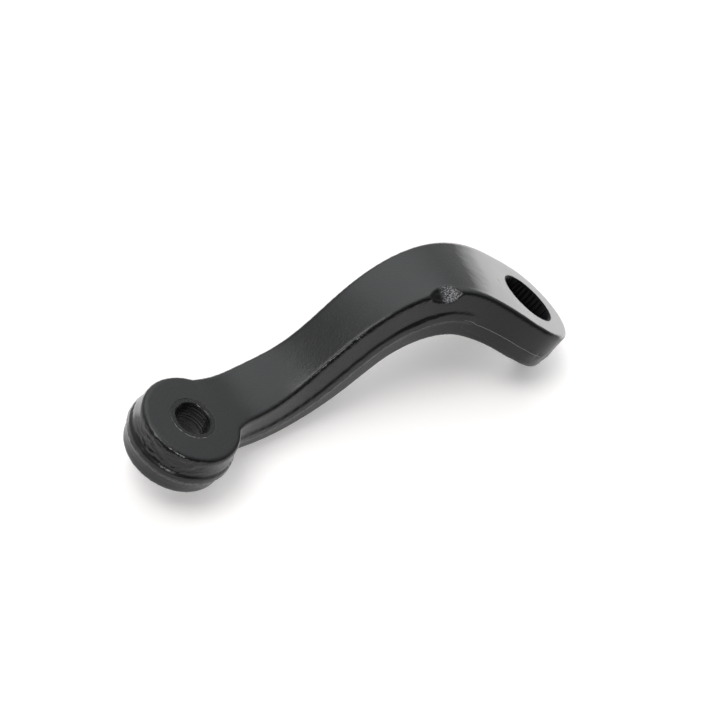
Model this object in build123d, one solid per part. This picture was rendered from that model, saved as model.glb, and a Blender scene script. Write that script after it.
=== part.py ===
from build123d import *
import math
import os

# Drop pitman arm, one steel forging.
# Working frame of this file: origin at the centre of the ball stud boss on
# its upper face, Z along the boss axis, X towards the sector shaft eye.

# Ball stud boss
boss_radius = 25.3
boss_depth = 25.4
stud_hole_radius = 8.9
stud_taper_deg = 3.57
stud_chamfer = 0.55

# Sector shaft eye
eye_x = 202.0
eye_z = 53.0
eye_radius = 29.0
eye_depth = 24.2
eye_climb = -14.8
eye_heading = -25.9
eye_roll = -10.0

# Serrated bore of the eye
tip_radius = 15.0
root_radius = 15.9
divisions = 36
root_half_deg = 1.0
flank_half_deg = 3.0
serration_phase_deg = 7.8
bore_chamfer = 0.6

# Forging features
draft_deg = 4.0
parting = 0.62
flash_stand = 1.0
flash_top = 0.455
edge_round = 1.6

# Notch: x, y, z, heading, climb and roll at the middle of the upper edge
notch_place = (130.0, 3.2, 62.9, -1.0, 15.5, -13.5)
notch_radius = 15.8
notch_length = 19.0

# Stations down the arm: x, y, z of the upper face, heading, climb and roll
# in degrees, half width of the upper face, depth.
stations = [
    (16.0, 4.3, 0.0, 12.5, 0.0, 0.0, 18.0, 25.4),
    (26.0, 6.4, 0.0, 11.0, 0.0, 0.0, 15.5, 25.6),
    (41.0, 8.9, 1.5, 8.5, 12.0, -3.0, 15.2, 27.9),
    (55.0, 11.1, 6.8, 9.0, 27.0, -8.0, 14.7, 29.4),
    (69.0, 13.5, 17.0, 10.5, 43.0, -14.0, 13.8, 30.9),
    (84.0, 16.5, 33.0, 11.0, 45.0, -16.0, 14.1, 31.4),
    (103.0, 20.0, 48.2, 9.5, 30.5, -16.5, 15.9, 30.3),
    (126.0, 22.1, 58.4, 1.0, 18.0, -14.0, 18.4, 29.7),
    (147.5, 20.6, 62.8, -9.0, 4.5, -11.5, 21.6, 28.3),
    (165.3, 16.4, 62.2, -18.7, -7.3, -9.4, 24.4, 26.9),
]

# Turn about X, Y and Z that lays the forging on a table
rest_turn = (2.52, 15.29, 0.40)


def frame_at(x, y, z, heading, climb, roll):
    """Plane square to the arm: local X across to the far side, local Y up."""
    h = math.radians(heading)
    c = math.radians(climb)
    r = math.radians(roll)
    along = Vector(math.cos(c) * math.cos(h), math.cos(c) * math.sin(h), math.sin(c))
    side = Vector(-math.sin(h), math.cos(h), 0)
    up = along.cross(side)
    across = side * math.cos(r) + up * math.sin(r)
    return Plane(origin=(x, y, z), x_dir=across, z_dir=along)


def quad(plane, points):
    """Closed outline drawn on a section plane."""
    return Face(Wire.make_polygon([plane.from_local_coords(p) for p in points], close=True))


eye_plane = frame_at(eye_x, 0, eye_z, eye_heading, eye_climb, eye_roll)
eye_along = eye_plane.z_dir
eye_up = eye_plane.y_dir

cuts = [(frame_at(*s[:6]), s[6], s[7]) for s in stations]
for back, half_width, depth in ((20.0, 27.4, 25.0), (11.0, 28.5, 24.6), (3.0, 28.9, eye_depth)):
    near_eye = Plane(eye_plane.origin - eye_along * back, eye_plane.x_dir, eye_along)
    cuts.append((near_eye, half_width, depth))


def sheet_faces(top, bottom, reach):
    """Sections of the layer between two depths under the upper face."""
    faces = []
    for plane, half_width, depth in cuts:
        low = -depth * bottom
        high = -depth * top
        faces.append(quad(plane, [(-reach, low), (reach, low), (reach, high), (-reach, high)]))
    return faces


def layer(top, bottom):
    """The layer itself: flat over the boss, bent down the arm, flat over the eye."""
    faces = sheet_faces(top, bottom, 42)
    arm = loft(faces).solid()
    boss_end = Solid.extrude(faces[0], cuts[0][0].z_dir * -70)
    eye_end = Solid.extrude(faces[-1], eye_along * 60)
    return arm.fuse(boss_end, eye_end, glue=True)


slope = math.tan(math.radians(draft_deg))
spill = 2.0


def wall(half_width, depth):
    """One side of a forged section, from under the bottom to over the top."""
    tangent = 1 - math.sqrt(0.5)
    over = half_width - edge_round - spill / math.tan(math.radians(22.5))
    knee = half_width - tangent * edge_round
    widest = half_width + depth * parting * slope
    foot = widest - depth * (1 - parting) * slope * 1.5
    return [
        (foot - half_width + over, -depth - spill),
        (foot - half_width + knee, -depth + tangent * edge_round),
        (foot, -depth + edge_round),
        (widest, -depth * parting),
        (half_width + edge_round * slope, -edge_round),
        (knee, -tangent * edge_round),
        (over, spill),
    ]


def flash_wall(half_width, depth, stand):
    """Side of the trimmed flash, leaning in towards the top."""
    widest = half_width + depth * parting * slope + stand
    return [
        (widest - 1, -depth - spill),
        (widest, -depth * parting),
        (widest - depth * 0.3 * slope, -depth * 0.3),
        (widest - 3, spill),
    ]


def disc(side):
    """A half section spun about the vertical axis."""
    half = Polyline((0, side[0][1]), *side, (0, side[-1][1]), close=True)
    return revolve(Plane.XZ * make_face(half), axis=Axis.Z)


def ribbon(planes, sides):
    """Mirrored sections lofted down the arm."""
    faces = []
    for plane, right in zip(planes, sides):
        left = [(-x, y) for x, y in reversed(right)]
        faces.append(quad(plane, right + left))
    return loft(faces)


eye_place = Plane(origin=eye_plane.origin, x_dir=eye_along, z_dir=eye_up)
planes = [plane for plane, half_width, depth in cuts]
boss = disc(wall(boss_radius, boss_depth))
arm = ribbon(planes, [wall(half_width, depth) for plane, half_width, depth in cuts])
eye = eye_place * disc(wall(eye_radius, eye_depth))
core = (boss + arm + eye) & layer(0, 1)

# The trimmed flash stands out round the boss and sinks into the wall past the crest
boss_flash = disc(flash_wall(boss_radius, boss_depth, flash_stand))
stands = [flash_stand] * 8 + [flash_stand * 0.45, -flash_stand * 0.6]
flash_sides = [flash_wall(w, d, stand) for (plane, w, d), stand in zip(cuts, stands)]
arm_flash = ribbon(planes[: len(stands)], flash_sides)
flash = (boss_flash + arm_flash) & layer(flash_top, parting)
forging = (core + flash).solid()

# Worn notch on the near upper edge, over the crest of the arm
notch_frame = frame_at(*notch_place)
outward = (notch_frame.y_dir - notch_frame.x_dir).normalized()
scoop = notch_length / 2
standoff = math.sqrt(notch_radius**2 - scoop**2)
forging -= Pos(notch_frame.origin + outward * standoff) * Sphere(notch_radius)

# Serrated bore, one groove left out every quarter turn
grooves = []
for k in range(divisions):
    if k % (divisions // 4):
        middle = math.radians(serration_phase_deg + k * 360 / divisions)
        flank = math.radians(flank_half_deg)
        root = math.radians(root_half_deg)
        corners = [
            (tip_radius - 0.5, middle - flank),
            (tip_radius, middle - flank),
            (root_radius, middle - root),
            (root_radius, middle + root),
            (tip_radius, middle + flank),
            (tip_radius - 0.5, middle + flank),
        ]
        points = [(r * math.cos(t), r * math.sin(t)) for r, t in corners]
        grooves.append(make_face(Polyline(*points, close=True)))
bore = Pos(0, 0, 5) * extrude(Circle(tip_radius) + grooves, amount=-eye_depth - 10)


def mouth(radius, level, side):
    """45 degree countersink that measures this radius at this level."""
    outline = Polyline(
        (0, level + side * 2),
        (radius + 2, level + side * 2),
        (radius - 3, level - side * 3),
        (0, level - side * 3),
        close=True,
    )
    return revolve(Plane.XZ * make_face(outline), axis=Axis.Z)


mouth_radius = root_radius + bore_chamfer
bore += mouth(mouth_radius, 0, 1)
bore += mouth(mouth_radius, -eye_depth, -1)
forging -= eye_place * bore

# Tapered ball stud hole, wider towards the lower face
stud_slope = math.tan(math.radians(stud_taper_deg))
stud_low_radius = stud_hole_radius + boss_depth * stud_slope
stud_outline = Polyline(
    (0, 2),
    (stud_hole_radius - 2 * stud_slope, 2),
    (stud_low_radius + 2 * stud_slope, -boss_depth - 2),
    (0, -boss_depth - 2),
    close=True,
)
stud_hole = revolve(Plane.XZ * make_face(stud_outline), axis=Axis.Z)
stud_hole += mouth(stud_hole_radius + stud_chamfer, 0, 1)
stud_hole += mouth(stud_low_radius + stud_chamfer, -boss_depth, -1)
forging -= stud_hole

# Laid down as it rests on a flat table, origin at the middle of the bore
bore_middle = eye_plane.origin - eye_up * eye_depth / 2
pitman_arm = Rot(*rest_turn) * Pos(bore_middle * -1) * forging

os.makedirs("parts", exist_ok=True)
export_step(pitman_arm, "parts/pitman_arm.step")
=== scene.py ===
import math

import bmesh
import bpy
import numpy as np
from mathutils import Matrix, Vector, kdtree, noise


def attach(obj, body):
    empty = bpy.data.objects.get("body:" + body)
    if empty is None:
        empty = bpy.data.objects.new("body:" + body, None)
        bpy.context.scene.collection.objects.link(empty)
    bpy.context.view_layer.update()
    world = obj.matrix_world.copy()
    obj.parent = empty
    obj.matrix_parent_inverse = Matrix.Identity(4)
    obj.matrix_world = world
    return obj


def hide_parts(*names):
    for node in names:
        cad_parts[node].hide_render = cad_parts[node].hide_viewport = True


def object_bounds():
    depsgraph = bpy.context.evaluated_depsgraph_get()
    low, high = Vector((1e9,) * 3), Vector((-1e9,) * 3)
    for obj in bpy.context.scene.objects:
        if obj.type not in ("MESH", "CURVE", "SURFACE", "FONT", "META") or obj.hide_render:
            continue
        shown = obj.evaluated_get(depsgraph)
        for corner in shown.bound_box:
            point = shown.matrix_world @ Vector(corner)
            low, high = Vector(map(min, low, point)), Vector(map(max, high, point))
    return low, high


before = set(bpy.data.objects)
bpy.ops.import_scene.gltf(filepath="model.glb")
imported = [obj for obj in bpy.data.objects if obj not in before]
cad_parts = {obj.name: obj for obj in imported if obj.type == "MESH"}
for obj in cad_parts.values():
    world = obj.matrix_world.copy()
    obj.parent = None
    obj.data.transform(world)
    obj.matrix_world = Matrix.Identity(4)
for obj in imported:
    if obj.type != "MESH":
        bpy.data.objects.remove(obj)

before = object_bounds()
room = bpy.context.scene.collection

# Forged body: one piece of steel struck in closed dies, so its edges are soft and its
# skin is faintly uneven. Trimming the flash left the near upper edge and the flank of
# the boss torn. It is coated black all over.
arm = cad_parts["pitman_arm"]
blank = bpy.data.meshes.new("blank")
cad = bmesh.new()
cad.from_mesh(arm.data)
bmesh.ops.remove_doubles(cad, verts=cad.verts, dist=1e-7)
cad.to_mesh(blank)
cad.free()

# Two bars through the machined holes part their crisp surfaces from the soft skin
eye_axis = Vector((0.542216, 0.011502, 0.840161))
eye_half_depth = 0.0121
eye_turn = eye_axis.to_track_quat("Z", "Y").to_matrix().to_4x4()
boss_axis = Vector((0.263705, -0.042412, 0.963671))
boss_middle = Vector((-0.2056097, -0.0008253, 0.0000063))
boss_half_depth = 0.0127
boss_turn = boss_axis.to_track_quat("Z", "Y").to_matrix().to_4x4()
boss_turn = Matrix.Translation(boss_middle) @ boss_turn
eye_bar_radius = 0.0169
boss_bar_radius = 0.0114
bars = []
for radius, half_depth, place in (
    (eye_bar_radius, eye_half_depth, eye_turn),
    (boss_bar_radius, boss_half_depth, boss_turn),
):
    bpy.ops.mesh.primitive_cylinder_add(vertices=160, radius=radius, depth=half_depth * 2 + 0.02)
    bars.append(bpy.context.object)
    bars[-1].matrix_world = place
eye_bar = bars[0]

body = bpy.data.objects.new("forged_body", blank)
room.objects.link(body)
even = body.modifiers.new("even", "REMESH")
even.mode = "VOXEL"
even.voxel_size = 0.00077
soften = body.modifiers.new("soften", "SMOOTH")
soften.factor = 0.5
soften.iterations = 2
for bar in bars:
    open_up = body.modifiers.new("open", "BOOLEAN")
    open_up.operation = "DIFFERENCE"
    open_up.solver = "EXACT"
    open_up.object = bar
bpy.context.view_layer.update()
seen = bpy.context.evaluated_depsgraph_get()
body.data = bpy.data.meshes.new_from_object(body.evaluated_get(seen))
body.modifiers.clear()

mesh = body.data
count = len(mesh.vertices)
spots = np.zeros(count * 3)
mesh.vertices.foreach_get("co", spots)
spots = spots.reshape(-1, 3)
normals = np.zeros(count * 3)
mesh.vertices.foreach_get("normal", normals)
normals = normals.reshape(-1, 3)
ends = np.zeros(len(mesh.edges) * 2, dtype=int)
mesh.edges.foreach_get("vertices", ends)
first, second = ends.reshape(-1, 2).T


def fade(values, start, end):
    """0 at start, 1 at end, smooth between."""
    t = np.clip((values - start) / (end - start), 0, 1)
    return t * t * (3 - 2 * t)


def lumps(stretch, seed, octaves=3):
    """Fractal noise at every vertex; stretch is lumps per metre along X, Y and Z."""
    shift = Vector((seed * 7.3, seed * 3.1, seed * 5.7))
    return np.array([noise.fractal(Vector(p * stretch) + shift, 0.7, 2.0, octaves) for p in spots])


# Nothing moves close round the two holes, where the skin meets machined surfaces
to_boss = spots - np.array(boss_middle)
boss_height = to_boss @ np.array(boss_axis)
boss_radius = np.linalg.norm(to_boss - np.outer(boss_height, boss_axis), axis=1)
eye_height = spots @ np.array(eye_axis)
eye_radius = np.linalg.norm(spots - np.outer(eye_height, eye_axis), axis=1)
clear = np.minimum(fade(eye_radius, 0.0172, 0.0200), fade(boss_radius, 0.0117, 0.0145))

# The dies leave broad faces flowing, while edges and the trimmed ledge stay crisp
bend = 1 - np.einsum("ij,ij->i", normals[first], normals[second])
crease = np.zeros(count)
np.maximum.at(crease, first, bend)
np.maximum.at(crease, second, bend)
near_crease = crease.copy()
np.maximum.at(near_crease, first, crease[second])
np.maximum.at(near_crease, second, crease[first])
free = (1 - fade(near_crease, 0.0014, 0.0030)) * (clear > 0.5)
neighbours = np.bincount(first, minlength=count) + np.bincount(second, minlength=count)
flow_passes = 110
for _ in range(flow_passes):
    for axis in range(3):
        level = spots[:, axis]
        pull = np.bincount(first, level[second], count) + np.bincount(second, level[first], count)
        spots[:, axis] = level + (pull / neighbours - level) * 0.5 * free
along, across, up = spots.copy().T

# Torn trim: the near upper edge, down to 7 mm under its crest in each 2 mm of length
near_edge = fade(-normals[:, 1], 0.25, 0.5) * fade(normals[:, 2], 0.2, 0.45)
slices = ((along - along.min()) / 0.002).astype(int)
crest = np.full(slices.max() + 1, -1.0)
np.maximum.at(crest, slices[near_edge > 0.3], up[near_edge > 0.3])
near_edge *= fade(up - crest[slices], -0.0070, -0.0045)
torn_edge = near_edge * fade(along, -0.150, -0.125) * (1 - fade(along, -0.072, -0.060))

# Torn trim: the flank of the boss that faces front and left, above the ledge
flank = fade(boss_radius, 0.0243, 0.0249) * fade(boss_height, 0.0015, 0.0030)
flank *= 1 - fade(boss_height, 0.0118, 0.0126)
flank *= fade(-along, 0.205, 0.215) * fade(-across, -0.008, 0.002)

# The end of the worn notch towards the eye is roughened, and light specks are painted on it as
# glints
notch_centre = (-0.0604, -0.00545, 0.0493)
from_notch = np.linalg.norm(spots - np.array(notch_centre), axis=1)
notch = 1 - fade(from_notch, 0.0160, 0.0165)
notch *= fade(along, -0.0615, -0.0575) * (1 - fade(along, -0.0545, -0.0515))

# The dies met on a line low down the sides: find how far each side leans there,
# measured against the upper face nearest to it, to place a painted highlight on that line
upper = np.nonzero((normals[:, 2] > 0.75) & (near_crease < 0.002))[0]
lookup = kdtree.KDTree(len(upper))
for index in upper:
    lookup.insert(spots[index], int(index))
lookup.balance()
parting = np.full(count, 1.0)
for index in np.nonzero(abs(normals[:, 2]) < 0.75)[0]:
    _, above, far = lookup.find(spots[index])
    if 0.0125 < far < 0.0225:
        parting[index] = normals[index] @ normals[above]

# Paint settles thickest on the faces that look up, and is thinner on the sides
side_film = 0.7
film = side_film + 0.3 * fade(normals[:, 2], 0.15, 0.55)

# How deep the skin lies under the true form, in metres
sink = 0.00002 * lumps(120, 1) + 0.000005 * lumps(600, 2)
sink += torn_edge * 0.00020 * (0.6 + lumps(520, 3))
sink += flank * 0.00035 * (0.6 + lumps((260, 260, 900), 4))
sink += notch * 0.00035 * (0.6 + lumps(800, 5))
spots -= normals * (np.clip(sink, -0.0001, 0.001) * clear)[:, None]
mesh.vertices.foreach_set("co", np.clip(spots, before[0], before[1]).ravel())
for name, amount in (
    ("torn", np.maximum(torn_edge, flank)),
    ("notch_glints", notch),
    ("parting", parting),
    ("film", film),
):
    layer = mesh.attributes.new(name, "FLOAT", "POINT")
    layer.data.foreach_set("value", amount)
mesh.polygons.foreach_set("use_smooth", [True] * len(mesh.polygons))


def wire(tree, kind, fixed=None, fed=None, **choices):
    """A shader node with its choices, its fixed inputs and the outputs that feed it."""
    node = tree.nodes.new("ShaderNode" + kind)
    for choice, value in choices.items():
        setattr(node, choice, value)
    for socket, value in (fixed or {}).items():
        node.inputs[socket].default_value = value
    for socket, source in (fed or {}).items():
        tree.links.new(source, node.inputs[socket])
    return node


# Coating: black stoving paint, half gloss, thinner and shinier where the skin is torn
coat = bpy.data.materials.new("coated_forging")
coat.use_nodes = True
paint = coat.node_tree
shader = paint.nodes["Principled BSDF"]
shader.inputs["Specular IOR Level"].default_value = 0.30
shader.inputs["Coat IOR"].default_value = 4
shader.inputs["Coat Roughness"].default_value = 0.3
shader.inputs["Sheen Weight"].default_value = 0.12
shader.inputs["Sheen Roughness"].default_value = 0.25
where = wire(paint, "TexCoord").outputs["Object"]
torn = wire(paint, "Attribute", attribute_name="torn").outputs["Fac"]
cloud = wire(paint, "TexNoise", {"Scale": 55, "Detail": 4}, {"Vector": where})
dull = wire(
    paint,
    "MapRange",
    {"From Min": 0.3, "From Max": 0.7, "To Min": 0.27, "To Max": 0.34},
    {"Value": cloud.outputs["Fac"]},
)
shine = wire(paint, "MapRange", {"To Max": 0.16}, {"Value": torn, "To Min": dull.outputs["Result"]})
paint.links.new(shine.outputs["Result"], shader.inputs["Roughness"])

# Its grain stands out more where the skin is torn
grain = wire(paint, "TexNoise", {"Scale": 1000, "Detail": 3}, {"Vector": where})
rough = wire(paint, "MapRange", {"To Min": 0.45, "To Max": 0.6}, {"Value": torn})
bump = wire(
    paint,
    "Bump",
    {"Distance": 0.0003},
    {"Strength": rough.outputs["Result"], "Height": grain.outputs["Fac"]},
)
paint.links.new(bump.outputs["Normal"], shader.inputs["Normal"])

# Its thick film on the upper faces takes on a sheen at a low angle
low_angle = wire(paint, "LayerWeight")
sheen = wire(
    paint,
    "MapRange",
    {"From Min": 0.59, "From Max": 0.68, "To Min": 0.03},
    {"Value": low_angle.outputs["Facing"]},
)
settled = wire(paint, "Attribute", attribute_name="film")
thick = wire(paint, "MapRange", {"From Min": side_film}, {"Value": settled.outputs["Fac"]})
full = wire(
    paint,
    "Math",
    fed={0: sheen.outputs["Result"], 1: thick.outputs["Result"]},
    operation="MULTIPLY",
)
paint.links.new(full.outputs["Value"], shader.inputs["Coat Weight"])

# A highlight is painted along the line where the dies met, as a thin band of lighter colour
lean_at_line = -0.017
lean = wire(paint, "Attribute", attribute_name="parting")
off_line = wire(paint, "Math", {1: lean_at_line}, {0: lean.outputs["Fac"]}, operation="SUBTRACT")
away = wire(paint, "Math", fed={0: off_line.outputs["Value"]}, operation="ABSOLUTE")
painted_parting_highlight = wire(
    paint,
    "MapRange",
    {"From Min": 0.008, "From Max": 0.024, "To Min": 0.38, "To Max": 0.0},
    {"Value": away.outputs["Value"]},
)

# Painted glints: light specks of colour on the roughened end of the notch
notch_glints = wire(paint, "Attribute", attribute_name="notch_glints")
specks = wire(paint, "TexNoise", {"Scale": 1500, "Detail": 2}, {"Vector": where})
glint_specks = wire(
    paint, "MapRange", {"From Min": 0.40, "From Max": 0.68}, {"Value": specks.outputs["Fac"]}
)
in_notch = wire(
    paint,
    "Math",
    fed={0: glint_specks.outputs["Result"], 1: notch_glints.outputs["Fac"]},
    operation="MULTIPLY",
)
# Both painted highlights, on the parting line and on the notch end, lighten the paint colour
painted_highlights = wire(
    paint,
    "Math",
    fed={0: painted_parting_highlight.outputs["Result"], 1: in_notch.outputs["Value"]},
    operation="MAXIMUM",
)
colour = wire(
    paint,
    "Mix",
    {"A": (0.0050, 0.0052, 0.0056, 1), "B": (0.32, 0.32, 0.33, 1)},
    {"Factor": painted_highlights.outputs["Value"]},
    data_type="RGBA",
)
paint.links.new(colour.outputs["Result"], shader.inputs["Base Color"])

# Serrated bore: teeth broached through the eye in the same steel, so they stay crisp.
# They get a darker colour and almost no reflection, painted shade for the dark inside of the bore.
bore = bpy.data.objects.new("serrated_bore", blank.copy())
room.objects.link(bore)
part_off = bore.modifiers.new("part", "BOOLEAN")
part_off.operation = "INTERSECT"
part_off.solver = "EXACT"
part_off.object = eye_bar
bpy.context.view_layer.update()
seen = bpy.context.evaluated_depsgraph_get()
bore.data = bpy.data.meshes.new_from_object(bore.evaluated_get(seen))
bore.modifiers.clear()
bore.data.polygons.foreach_set("use_smooth", [True] * len(bore.data.polygons))
bore.data.set_sharp_from_angle(angle=math.radians(25))
for bar in bars:
    bpy.data.objects.remove(bar)
# Painted shade: a darker base colour and a low reflection level stand in for the shade inside the
# bore
teeth_shade = bpy.data.materials.new("teeth_painted_shade")
teeth_shade.use_nodes = True
teeth_shade_shader = teeth_shade.node_tree.nodes["Principled BSDF"]
teeth_shade_shader.inputs["Base Color"].default_value = (0.0030, 0.0031, 0.0034, 1)
teeth_shade_shader.inputs["Roughness"].default_value = 0.4
teeth_shade_shader.inputs["Specular IOR Level"].default_value = 0.04

# Stud hole: a taper reamed through the boss in the same steel, with the reamer's
# rings left in it, and painted thinly with the rest.
depth = boss_half_depth * 2
upper_radius = 0.0089
taper = math.tan(math.radians(3.57))
lower_radius = upper_radius + depth * taper
chamfer = 0.00055
lip = 0.0007
outline = [
    (boss_bar_radius, boss_half_depth),
    (upper_radius + chamfer, boss_half_depth),
    (upper_radius + 0.00003, boss_half_depth - 0.00052),
]
rings = 72
for step in range(rings + 1):
    down = lip + (depth - lip * 2) * step / rings
    ring = 0.00009 * math.sin(step * 2.1) + 0.00005 * math.sin(step * 0.83)
    outline.append((upper_radius + down * taper + max(ring, -0.00004), boss_half_depth - down))
outline += [
    (lower_radius - 0.00003, 0.00052 - boss_half_depth),
    (lower_radius + chamfer, -boss_half_depth),
    (boss_bar_radius, -boss_half_depth),
]
around = 160
corners = [
    boss_turn @ Vector((r * math.cos(a), r * math.sin(a), h))
    for a in (math.tau * k / around for k in range(around))
    for r, h in outline
]
n = len(outline)
faces = [
    (k * n + j, k * n + (j + 1) % n, (k + 1) % around * n + (j + 1) % n, (k + 1) % around * n + j)
    for k in range(around)
    for j in range(n)
]
hole_mesh = bpy.data.meshes.new("stud_hole")
hole_mesh.from_pydata(corners, [], faces)
hole_mesh.polygons.foreach_set("use_smooth", [True] * len(hole_mesh.polygons))
hole_mesh.set_sharp_from_angle(angle=math.radians(35))
stud_hole = bpy.data.objects.new("stud_hole", hole_mesh)
room.objects.link(stud_hole)
for name, amount in (("film", side_film), ("parting", 1.0), ("torn", 0.6)):
    layer = hole_mesh.attributes.new(name, "FLOAT", "POINT")
    layer.data.foreach_set("value", [amount] * len(hole_mesh.vertices))

# Whole arm: skin, teeth and stud hole are cut from one forging with nothing fixed to
# it, so they go together as one piece.
for part, finish in ((body, coat), (bore, teeth_shade), (stud_hole, coat)):
    part.data.materials.clear()
    part.data.materials.append(finish)
    part.select_set(True)
bpy.context.view_layer.objects.active = body
bpy.ops.object.join()
body.name = "pitman_arm_skin"
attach(body, "root")
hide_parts("pitman_arm")

# Table: a pale matt sweep, faintly lit from below, that the forging lies loose on.
low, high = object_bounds()
bpy.ops.mesh.primitive_plane_add(size=30, location=(0, 0, low.z))
table = bpy.context.object
table.name = "table"
white = bpy.data.materials.new("table_white")
white.use_nodes = True
matt = white.node_tree.nodes["Principled BSDF"]
matt.inputs["Base Color"].default_value = (0.93, 0.905, 0.895, 1)
matt.inputs["Roughness"].default_value = 0.7
matt.inputs["Emission Color"].default_value = (1, 1, 1, 1)
matt.inputs["Emission Strength"].default_value = 0.15
table.data.materials.append(white)

# Light: pale walls behind, a soft box behind to the right, a broad lamp overhead
# and a small one by the camera that picks out the edges.
world = bpy.data.worlds.new("studio")
bpy.context.scene.world = world
world.use_nodes = True
sky = world.node_tree
way = wire(sky, "TexCoord").outputs["Generated"]
behind = wire(sky, "VectorMath", {1: (0.20, 0.72, 0.66)}, {0: way}, operation="DOT_PRODUCT")
walls = wire(
    sky,
    "MapRange",
    {"From Max": 0.6, "To Min": 0.05, "To Max": 0.72},
    {"Value": behind.outputs["Value"]},
)
right = wire(sky, "VectorMath", {1: (0.32, 0.56, 0.77)}, {0: way}, operation="DOT_PRODUCT")
soft_box = wire(
    sky,
    "MapRange",
    {"From Min": 0.80, "From Max": 0.985, "To Max": 1.40},
    {"Value": right.outputs["Value"]},
    interpolation_type="SMOOTHSTEP",
)
both = wire(sky, "Math", fed={0: walls.outputs["Result"], 1: soft_box.outputs["Result"]})
sky.nodes["Background"].inputs["Color"].default_value = (0.97, 0.99, 1, 1)
sky.links.new(both.outputs["Value"], sky.nodes["Background"].inputs["Strength"])
lit_spot = Vector((-0.1, 0, 0))
for name, width, watts, place in (
    ("overhead", 1.8, 36, (-1.2, 0.55, 2.8)),
    ("by_camera", 0.20, 4.6, (-0.69, -0.70, 0.77)),
):
    lamp_data = bpy.data.lights.new(name, "AREA")
    lamp_data.shape = "DISK"
    lamp_data.size = width
    lamp_data.energy = watts
    lamp = bpy.data.objects.new(name, lamp_data)
    lamp.location = place
    lamp.rotation_euler = (lit_spot - lamp.location).to_track_quat("-Z", "Y").to_euler()
    room.objects.link(lamp)

# Camera: the photo's viewpoint, above and in front of the boss.
camera = bpy.data.objects.new("camera", bpy.data.cameras.new("camera"))
camera.data.lens = 75
camera.data.sensor_width = 36
camera.data.clip_start = 0.05
turn = Matrix(
    (
        (0.8138, 0.29125, -0.50289),
        (-0.52365, 0.74277, -0.41723),
        (0.25201, 0.60288, 0.75698),
    )
)
camera.matrix_world = Matrix.Translation((-0.48393, -0.31492, 0.57978)) @ turn.to_4x4()
room.objects.link(camera)
bpy.context.scene.camera = camera
bpy.context.scene.view_settings.view_transform = "Standard"
